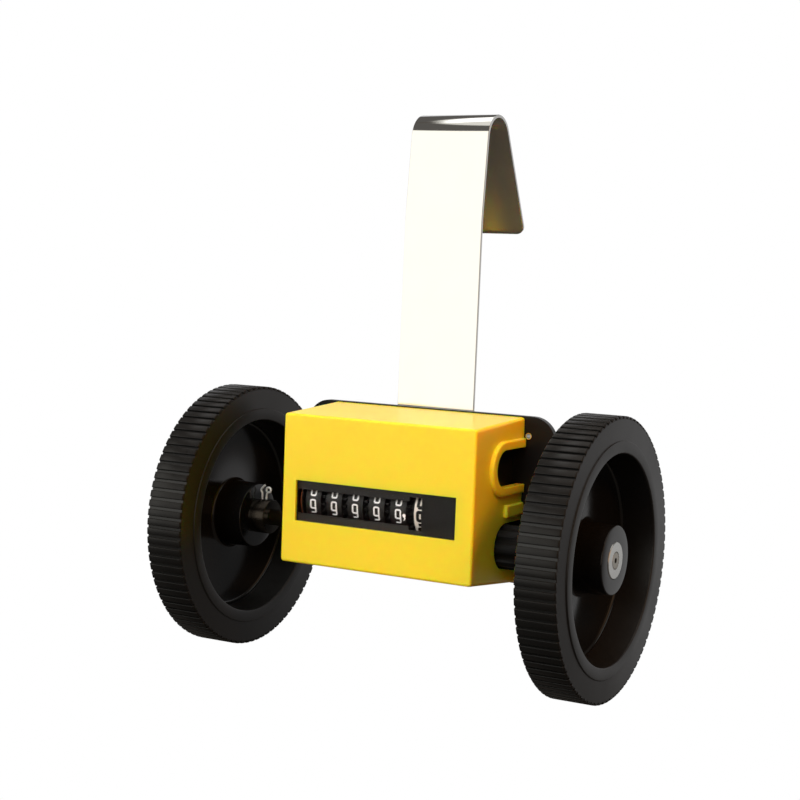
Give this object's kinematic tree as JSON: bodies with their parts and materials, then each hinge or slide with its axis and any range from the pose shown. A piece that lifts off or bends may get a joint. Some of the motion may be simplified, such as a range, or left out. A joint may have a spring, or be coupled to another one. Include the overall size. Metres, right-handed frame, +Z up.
{
  "type": "cable length counter",
  "caption": "Cable length counter: grooved measuring wheels on an axle drive a geared number wheel counter in a yellow case that hangs on a bent steel hook.",
  "frame": {"origin": "on the axle's line, midway between the two measuring wheels", "axes": "+X along the axle to the right seen from the front, +Y to the back, away from the number window, +Z up towards the hook"},
  "size_m": [0.157, 0.0991, 0.1964],
  "materials": {
    "yellow_plastic": "glossy moulded",
    "black_plastic": "glossy moulded",
    "wheel_plastic": "glossy moulded, fine wear on the tread",
    "white_plastic": "moulded",
    "brown_sheet": "pressed fibre",
    "gear_plastic": "moulded acetal",
    "clear_plastic": "clear moulded",
    "mirror_steel": "mirror polished stainless strip",
    "turned_steel": "turned",
    "bronze": "sintered bronze"
  },
  "bodies": {
    "case": {"front_cover": "yellow_plastic", "window_lens": "clear_plastic", "window_mask": "black_plastic", "base_frame": "black_plastic", "left_bearing": "bronze", "inner_bearing": "bronze", "case_screws": "turned_steel", "plate_eyelets": "turned_steel", "hook_strap": "mirror_steel", "strap_rivets": "turned_steel", "idler_pin": "turned_steel", "carry_shaft": "turned_steel", "end_spacer": "brown_sheet"},
    "axle_set": {"axle": "turned_steel", "left_wheel": "wheel_plastic", "right_wheel": "wheel_plastic", "left_bush": "turned_steel", "right_bush": "turned_steel", "left_split_pin": "turned_steel", "right_split_pin": "turned_steel", "axle_gear": "gear_plastic"},
    "idler": {"idler_gear": "gear_plastic"},
    "counter_wheel_1": {"number_wheel_1": "black_plastic"},
    "counter_wheel_2": {"number_wheel_2": "black_plastic"},
    "counter_wheel_3": {"number_wheel_3": "black_plastic"},
    "counter_wheel_4": {"number_wheel_4": "black_plastic"},
    "counter_wheel_5": {"number_wheel_5": "black_plastic"},
    "counter_wheel_6": {"number_wheel_6": "white_plastic"},
    "carry_1": {"carry_pinion_1": "gear_plastic"},
    "carry_2": {"carry_pinion_2": "gear_plastic"},
    "carry_3": {"carry_pinion_3": "gear_plastic"},
    "carry_4": {"carry_pinion_4": "gear_plastic"},
    "carry_5": {"carry_pinion_5": "gear_plastic"},
    "reset_knob_set": {"reset_knob": "black_plastic", "knob_gear": "gear_plastic"},
    "reset_shaft_set": {"reset_shaft": "turned_steel", "shaft_clips": "turned_steel", "reset_shaft_gear": "gear_plastic"}
  },
  "joints": [
    {"name": "axle_spin", "type": "hinge", "parent": "case", "child": "axle_set", "pos_m": [0, 0, 0], "axis": [1, 0, 0], "continuous": true},
    {"name": "idler_spin", "type": "hinge", "parent": "case", "child": "idler", "pos_m": [0, 0.00125, 0.01042], "axis": [1, 0, 0], "continuous": true},
    {"name": "number_wheel_1_spin", "type": "hinge", "parent": "case", "child": "counter_wheel_1", "pos_m": [0, -0.01131, 0.01131], "axis": [1, 0, 0], "continuous": true},
    {"name": "number_wheel_2_spin", "type": "hinge", "parent": "case", "child": "counter_wheel_2", "pos_m": [0, -0.01131, 0.01131], "axis": [1, 0, 0], "continuous": true},
    {"name": "number_wheel_3_spin", "type": "hinge", "parent": "case", "child": "counter_wheel_3", "pos_m": [0, -0.01131, 0.01131], "axis": [1, 0, 0], "continuous": true},
    {"name": "number_wheel_4_spin", "type": "hinge", "parent": "case", "child": "counter_wheel_4", "pos_m": [0, -0.01131, 0.01131], "axis": [1, 0, 0], "continuous": true},
    {"name": "number_wheel_5_spin", "type": "hinge", "parent": "case", "child": "counter_wheel_5", "pos_m": [0, -0.01131, 0.01131], "axis": [1, 0, 0], "continuous": true},
    {"name": "number_wheel_6_spin", "type": "hinge", "parent": "case", "child": "counter_wheel_6", "pos_m": [0, -0.01131, 0.01131], "axis": [1, 0, 0], "continuous": true},
    {"name": "carry_pinion_1_spin", "type": "hinge", "parent": "case", "child": "carry_1", "pos_m": [0, -0.00571, 0.02101], "axis": [1, 0, 0], "continuous": true},
    {"name": "carry_pinion_2_spin", "type": "hinge", "parent": "case", "child": "carry_2", "pos_m": [0, -0.00571, 0.02101], "axis": [1, 0, 0], "continuous": true},
    {"name": "carry_pinion_3_spin", "type": "hinge", "parent": "case", "child": "carry_3", "pos_m": [0, -0.00571, 0.02101], "axis": [1, 0, 0], "continuous": true},
    {"name": "carry_pinion_4_spin", "type": "hinge", "parent": "case", "child": "carry_4", "pos_m": [0, -0.00571, 0.02101], "axis": [1, 0, 0], "continuous": true},
    {"name": "carry_pinion_5_spin", "type": "hinge", "parent": "case", "child": "carry_5", "pos_m": [0, -0.00571, 0.02101], "axis": [1, 0, 0], "continuous": true},
    {"name": "reset_knob_turn", "type": "hinge", "parent": "case", "child": "reset_knob_set", "pos_m": [0, 0, 0], "axis": [1, 0, 0], "continuous": true},
    {"name": "reset_shaft_turn", "type": "hinge", "parent": "case", "child": "reset_shaft_set", "pos_m": [0, -0.01131, 0.01131], "axis": [1, 0, 0], "continuous": true}
  ],
  "couplings": [
    {"joint": "idler_spin", "follows": "axle_spin", "ratio": -0.75},
    {"joint": "number_wheel_1_spin", "follows": "axle_spin", "ratio": 0.000003},
    {"joint": "number_wheel_2_spin", "follows": "axle_spin", "ratio": 0.00003},
    {"joint": "number_wheel_3_spin", "follows": "axle_spin", "ratio": 0.0003},
    {"joint": "number_wheel_4_spin", "follows": "axle_spin", "ratio": 0.003},
    {"joint": "number_wheel_5_spin", "follows": "axle_spin", "ratio": 0.03},
    {"joint": "number_wheel_6_spin", "follows": "axle_spin", "ratio": 0.3},
    {"joint": "carry_pinion_1_spin", "follows": "axle_spin", "ratio": -0.0000075},
    {"joint": "carry_pinion_2_spin", "follows": "axle_spin", "ratio": -0.000075},
    {"joint": "carry_pinion_3_spin", "follows": "axle_spin", "ratio": -0.00075},
    {"joint": "carry_pinion_4_spin", "follows": "axle_spin", "ratio": -0.0075},
    {"joint": "carry_pinion_5_spin", "follows": "axle_spin", "ratio": -0.075},
    {"joint": "reset_shaft_turn", "follows": "reset_knob_turn", "ratio": -1}
  ]
}
